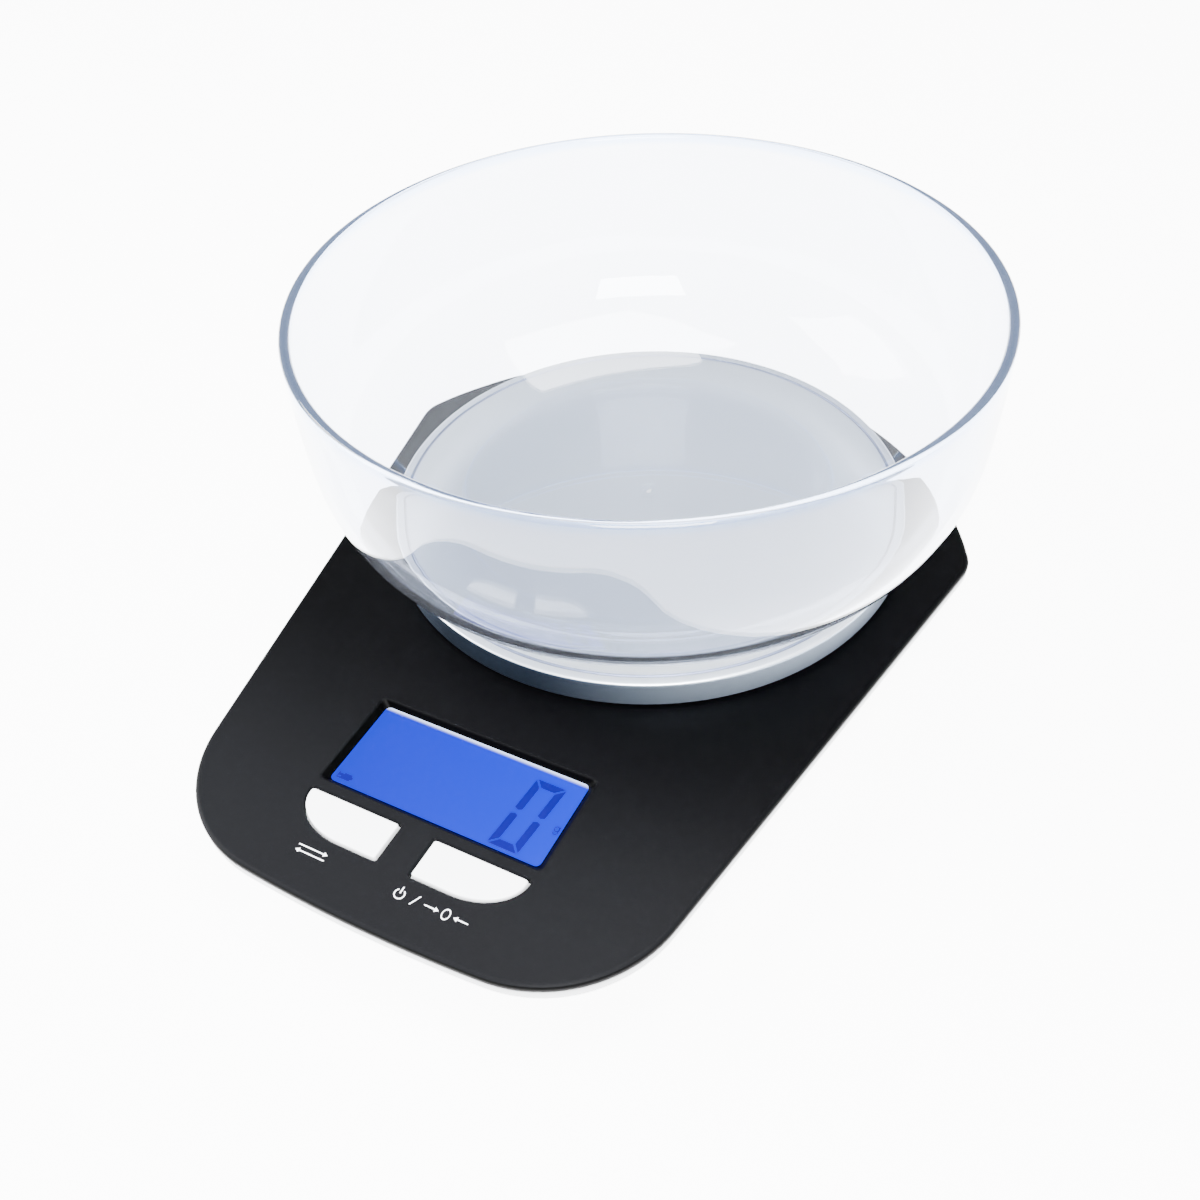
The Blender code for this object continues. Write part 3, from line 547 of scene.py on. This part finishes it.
base = PLATFORM_TOP + 0.05
rim_z = BODY_TOP + BOWL_H
clear_finish = Finish(
    "clear plastic",
    {"Transmission Weight": 0.985, "IOR": 1.49, "Roughness": 0.0, "Emission Strength": 1.0},
)
depth = clear_finish.node(
    "ShaderNodeVolumeAbsorption", {}, {"Color": (0.62, 0.70, 0.86, 1), "Density": 34.0}
)
clear_finish.give(clear_finish.tree.nodes["Material Output"], {"Volume": depth})
# Near the rim the bowl is painted a deeper blue tint and given a faint blue glow, as painted light on its
# rim.
rim_glow_ramp = clear_finish.ramp(clear_finish.axis("Z"), (rim_z - 3.2) * MM, (rim_z - 1.2) * MM)
clear_finish.set(
    {
        "Base Color": clear_finish.mix(rim_glow_ramp, (0.83, 0.86, 0.93, 1), (0.56, 0.68, 0.90, 1)),
        "Emission Color": clear_finish.mix(rim_glow_ramp, (0, 0, 0, 1), (0.07, 0.13, 0.30, 1)),
    }
)
bowl_up, bowl_out = rim_z - base, BOWL_R - BOWL_FLAT_R
knots = [(0.0, 0.0), (0.085, 0.004), (0.171, 0.015), (0.268, 0.035), (0.371, 0.063), (0.461, 0.089)]
knots += [(0.576, 0.13), (0.7, 0.185), (0.82, 0.262), (0.915, 0.368), (0.973, 0.524), (0.993, 0.733)]
knots += [(1.0, 0.95)]
wall = [Vector((BOWL_FLAT_R + bowl_out * a, base + bowl_up * b)) for a, b in knots]


def through(points, steps):
    """Points along a smooth curve that passes through each of the given ones."""
    line = [points[0] * 2 - points[1], *points, points[-1] * 2 - points[-2]]
    found = []
    for a, b, c, d in zip(line, line[1:], line[2:], line[3:]):
        for step in range(steps):
            t = step / steps
            bend = (c - a) * t + (a * 2 - b * 5 + c * 4 - d) * t * t + (b * 3 - a - c * 3 + d) * t**3
            found.append((b * 2 + bend) * 0.5)
    return [*found, points[-1]]


outer_wall = through(wall, 4)
inner_wall = []
for i in range(1, len(outer_wall) - 1):
    along = (outer_wall[i + 1] - outer_wall[i - 1]).normalized()
    inner_wall.append(outer_wall[i] + Vector((-along.y, along.x)) * BOWL_WALL)
floor_z = base + BOWL_WALL
bowl_profile = [(0, base), (BOWL_FLAT_R - 6, base), *[tuple(p) for p in outer_wall]]
bead = BOWL_RIM / 2
for a in range(0, 181, 15):
    turn = math.radians(a)
    bowl_profile.append((BOWL_R - bead + bead * math.cos(turn), rim_z - bead + bead * math.sin(turn)))
bowl_profile += [(BOWL_R - BOWL_RIM + 0.1, rim_z - 2.2), (BOWL_R - BOWL_WALL - 0.1, rim_z - 3.6)]
bowl_profile += [tuple(p) for p in inner_wall[::-1] if p.y < rim_z - 4.2]
bowl_profile += [(BOWL_FLAT_R - 6, floor_z), (GATE_MARK_R, floor_z), (GATE_MARK_R - 0.5, floor_z + 0.05)]
bowl_profile += [(GATE_MARK_R - 0.75, floor_z + 0.25), (GATE_MARK_R - 1.2, floor_z + 0.36)]
bowl_profile += [(0, floor_z + 0.4)]
clear_bowl = new_object("clear_bowl", *lathe(bowl_profile, 256, 0, AXIS_Y), clear_finish)
shade(clear_bowl, 50)
belongs(clear_bowl, "bowl", "clear_plastic", "bowl")


# ---------------------------------------------------------------- display
# A lit liquid crystal display under the window: blue glass over a light guide, with a
# white line of stray light along its back edge and darker segments for a zero.
GLASS_TOP = CEILING - 0.05
LIT_HALF_WIDTH, LIT_FRONT, LIT_DEPTH = 28.0, 112.5, 24.0
pane = {"IOR": 1.5, "Specular IOR Level": 0.05, "Roughness": 0.4}
glass_finish = Finish("display glass", {**pane, "Emission Strength": 1.5})
across = (glass_finish.axis("X") / MM + LIT_HALF_WIDTH) / (2 * LIT_HALF_WIDTH)
to_back = (glass_finish.axis("Y") / MM - (AXIS_Y - LIT_FRONT)) / LIT_DEPTH
glow = glass_finish.mix(across, (0.0, 0.008, 0.82, 1), (0.001, 0.016, 1.1, 1))
bleed = glass_finish.ramp(to_back, 0.95, 1.02)
glass_finish.set(
    {
        "Base Color": (0.0, 0.001, 0.012, 1),
        "Emission Color": glass_finish.mix(bleed, glow, (2.0, 2.4, 3.0, 1)),
    }
)
glass_half = WINDOW_HALF + 1.0
glass = new_object(
    "display_pane",
    *block(-glass_half, glass_half, front_y - 0.8, back_y + 1.9, GLASS_TOP - 1.7, GLASS_TOP),
    glass_finish,
)
shade(glass, 30, 0.15)
belongs(glass, "base", "display_glass", "display_glass")

segment_finish = Finish("display segments", {**pane, "Emission Strength": 0.72})
tint = segment_finish.noise(120)
segment_finish.set(
    {
        "Base Color": (0.0, 0.0, 0.006, 1),
        "Emission Color": segment_finish.mix(tint, (0.004, 0.0, 0.74, 1), (0.006, 0.002, 0.96, 1)),
    }
)


def plate(name, outline, finish, bottom, thickness, body, slot):
    """A thin printed or etched shape on a flat face."""
    plan = [(x, y + AXIS_Y) for x, y in outline]
    made = new_object(name, *prism(plan, bottom, bottom + thickness), finish)
    shade(made, 30)
    belongs(made, body, slot)


def etched(name, outline):
    plate(name, outline, segment_finish, GLASS_TOP + 0.005, 0.02, "base", "display_glass")


LEAN = 0.09
x0, x1, y0, y1 = 14.2, 22.0, -111.8, -91.9
bar, gap = 1.95, 0.28
waist = (y0 + y1) / 2


def leaning(points):
    return [(x + (y - y0) * LEAN, y) for x, y in points]


segments = {
    "top": [(x0 + bar + gap, y1 - bar), (x1 - bar - gap, y1 - bar), (x1 - gap, y1), (x0 + gap, y1)],
    "bottom": [(x0 + gap, y0), (x1 - gap, y0), (x1 - bar - gap, y0 + bar), (x0 + bar + gap, y0 + bar)],
    "upper_left": [(x0, waist + 0.9), (x0 + bar * 0.5, waist + 0.45), (x0 + bar, waist + 0.9)]
    + [(x0 + bar, y1 - bar - gap), (x0, y1 - gap)],
    "lower_left": [(x0, y0 + gap), (x0 + bar, y0 + bar + gap), (x0 + bar, waist - 0.9)]
    + [(x0 + bar * 0.5, waist - 0.45), (x0, waist - 0.9)],
    "upper_right": [(x1 - bar, waist + 0.9), (x1 - bar * 0.5, waist + 0.45), (x1, waist + 0.9)]
    + [(x1, y1 - gap), (x1 - bar, y1 - bar - gap)],
    "lower_right": [(x1 - bar, y0 + bar + gap), (x1, y0 + gap), (x1, waist - 0.9)]
    + [(x1 - bar * 0.5, waist - 0.45), (x1 - bar, waist - 0.9)],
}
for name, outline in segments.items():
    etched(f"zero_{name}", leaning(outline))

cell_left, cell_low = -26.9, -111.5
battery_mark = {
    "case": [(0, 0), (3.6, 0), (3.6, 0.5), (4.1, 0.5), (4.1, 1.3), (3.6, 1.3), (3.6, 1.8), (1.5, 1.8)]
    + [(1.5, 1.45), (0.35, 1.45), (0.35, 0.75), (1.0, 0.75), (1.0, 0.4), (0, 0.4)],
    "end": [(0, 0.55), (0.3, 0.55), (0.3, 1.8), (0, 1.8)],
}
for name, outline in battery_mark.items():
    etched(f"battery_mark_{name}", [(x + cell_left, y + cell_low) for x, y in outline])


def ring_sector(x, y, outer, inner, start, end, steps=16, squeeze=1.0):
    """Part of a flat ring as one outline."""
    angles = [math.radians(start + (end - start) * i / steps) for i in range(steps + 1)]
    points = [(x + outer * squeeze * math.cos(a), y + outer * math.sin(a)) for a in angles]
    points += [(x + inner * squeeze * math.cos(a), y + inner * math.sin(a)) for a in angles[::-1]]
    return points


gram = {
    "loop": ring_sector(26.7, -102.2, 0.8, 0.48, 0, 359.5, 20, 0.85),
    "stem": [(27.15, -103.1), (27.45, -103.1), (27.45, -101.4), (27.15, -101.4)],
    "tail": ring_sector(26.75, -103.1, 0.7, 0.42, 180, 360, 12),
}
for name, outline in gram.items():
    etched(f"gram_mark_{name}", outline)


# ---------------------------------------------------------------- keys
# Two white keys, moulded in a pearl plastic with a crisp edge. Each has a flange that
# keeps it under the cover and a stem that rests on the plunger of its switch.
KEY_RAISED = 0.35
PLUNGER_TOP = 17.95

key_finish = Finish("key plastic", {"IOR": 1.5, "Coat Weight": 0.2, "Coat Roughness": 0.15})
pearl = key_finish.noise(5000)
swirl = key_finish.noise(70)
key_finish.set(
    {
        "Base Color": key_finish.mix(swirl, (0.90, 0.91, 0.92, 1), (0.95, 0.96, 0.97, 1)),
        "Roughness": 0.28 + pearl * 0.1,
        "Normal": key_finish.bump(pearl, 0.00001, 0.4),
    }
)
for name, side in (("unit", -1), ("tare", 1)):
    x, y = side * 15.0, AXIS_Y - KEY_BACK - KEY_LENGTH / 2
    top = BODY_TOP + KEY_RAISED
    rings = [(0.75, CEILING - 1.15), (0.75, CEILING - 0.05), (0.0, CEILING - 0.04), (0.0, top - 0.5)]
    rings += [(-0.04, top - 0.25), (-0.14, top - 0.1), (-0.3, top - 0.02), (-0.5, top)]
    key = new_object(
        f"{name}_key_cap",
        *loft([[(a, b, z) for a, b in key_outline(side, grow)] for grow, z in rings]),
        key_finish,
    )
    carve(key, "UNION", [rod(1.9, PLUNGER_TOP, CEILING - 0.65, x, y)])
    shade(key, 50)
    belongs(key, f"{name}_key", "key_white", f"{name}_key")


# ---------------------------------------------------------------- key symbols
# Small white marks printed on the cover in front of the keys: two arrows for changing
# the unit, and a power ring with its bar, a stroke and a zero between two arrows for switching on and
# zeroing.
print_finish = Finish("white print", {"IOR": 1.45})
ink = print_finish.noise(3000)
print_finish.set(
    {
        "Base Color": print_finish.mix(ink, (0.78, 0.78, 0.79, 1), (0.92, 0.92, 0.93, 1)),
        "Roughness": 0.5 + ink * 0.15,
    }
)
PRINT = 0.012
MARKS_Y = -132.0


def printed(name, outline):
    plate(name, outline, print_finish, BODY_TOP + 0.003, PRINT, "base", "white_plastic")


def arrow(x, y, length, way):
    stem, head = 0.14, 0.58
    points = [(0, -stem), (length - 1.0, -stem), (length - 1.0, -head), (length, 0)]
    points += [(length - 1.0, head), (length - 1.0, stem), (0, stem)]
    return [(x + way * a, y + way * b) for a, b in points]


printed("unit_arrow_right", arrow(-22.0, -131.1, 7.6, 1))
printed("unit_arrow_left", arrow(-14.4, -132.5, 7.6, -1))
printed("power_ring", ring_sector(5.2, -132.1, 1.3, 1.03, 125, 415, 28))
printed("power_bar", [(5.06, -131.9), (5.34, -131.9), (5.34, -130.3), (5.06, -130.3)])
printed("stroke", [(8.3, -133.3), (8.58, -133.3), (9.88, -130.7), (9.6, -130.7)])
printed("tare_zero", ring_sector(16.8, MARKS_Y, 1.35, 1.08, 0, 359.5, 32, 0.72))
printed("tare_arrow_left", arrow(11.4, MARKS_Y, 3.6, 1))
printed("tare_arrow_right", arrow(22.2, MARKS_Y, 3.6, -1))


# ---------------------------------------------------------------- feet
# Four dark rubber feet, each a disc with a rounded edge and a shallow hollow in its sole.
# They stand in round seats in the lower shell.
rubber_finish = Finish("rubber", {"IOR": 1.5})
dust = rubber_finish.noise(900, 3.0)
rubber_finish.set(
    {
        "Base Color": rubber_finish.mix(dust, (0.035, 0.035, 0.037, 1), (0.07, 0.07, 0.072, 1)),
        "Roughness": 0.72 + dust * 0.15,
        "Normal": rubber_finish.bump(dust, 0.00003),
    }
)
foot_top = FOOT_SEAT - 0.05
sole = [(0, 0.25), (3.4, 0.25), (3.8, 0), (5.1, 0), (5.6, 0.12), (5.9, 0.4), (6, 0.8)]
sole += [(6, foot_top), (0, foot_top)]
for corner, (x, y) in zip(CORNERS, FEET):
    foot = new_object(f"rubber_foot_{corner}", *lathe(sole, 64, x, y), rubber_finish)
    shade(foot, 50)
    belongs(foot, "base", "rubber", f"foot_{corner}")


# ---------------------------------------------------------------- inside
# The pieces under the covers and in the underside keep the frame's shapes. Each gets the
# finish of the real piece: steel, milled aluminium, board, resin, wire or moulded plastic.
def varied(name, dark, light, rough, metallic=0.0, per_metre=1200, bump=0.0, spread=0.15):
    """A finish that wanders between two colours, with its roughness."""
    made = Finish(name, {"Metallic": metallic})
    pattern = made.noise(per_metre, 3.0)
    made.set({"Base Color": made.mix(pattern, (*dark, 1), (*light, 1))})
    made.set({"Roughness": rough + pattern * spread})
    if bump:
        made.set({"Normal": made.bump(pattern, bump)})
    return made


GREY = (0.24, 0.25, 0.26), (0.32, 0.33, 0.34)
MILLED = (0.62, 0.63, 0.64), (0.78, 0.79, 0.80)
BOARD = (0.01, 0.13, 0.05), (0.02, 0.22, 0.09)
GUIDE = (0.78, 0.84, 0.92), (0.86, 0.91, 0.98)
SEALANT = (0.72, 0.71, 0.66), (0.86, 0.85, 0.80)
RESIN = (0.006, 0.006, 0.006), (0.016, 0.016, 0.016)
PLATED = (0.50, 0.50, 0.51), (0.66, 0.66, 0.67)

inner_finishes = {
    "white_plastic": white_finish,
    "rubber": rubber_finish,
    "silver_paint": silver_finish,
    "key_white": key_finish,
    "steel": varied("plated steel", *PLATED, 0.24, 1.0, 1500, spread=0.18),
    "grey_plastic": varied("grey plastic", *GREY, 0.42, bump=0.00003),
    "aluminium": varied("milled aluminium", *MILLED, 0.26, 1.0, 400),
    "board_green": varied("green board", *BOARD, 0.32, bump=0.00002),
    "light_guide": varied("light guide", *GUIDE, 0.25),
    "sealant": varied("sealant", *SEALANT, 0.5, bump=0.0001),
    "chip_resin": varied("black resin", *RESIN, 0.22, bump=0.00003),
    "battery_wrap": varied("battery wrap", (0.07, 0.08, 0.10), (0.11, 0.12, 0.15), 0.2, 0.3),
    "wire_red": varied("red wire", (0.42, 0.02, 0.015), (0.6, 0.035, 0.02), 0.38),
    "wire_black": varied("black wire", (0.012, 0.012, 0.012), (0.025, 0.025, 0.025), 0.38),
}
for part in frame["record"]["subparts"]:
    node = frame["nodes"][part["node"]]
    if not node.hide_render:
        node.data.materials.clear()
        node.data.materials.append(inner_finishes[part["material_slot"]].material)
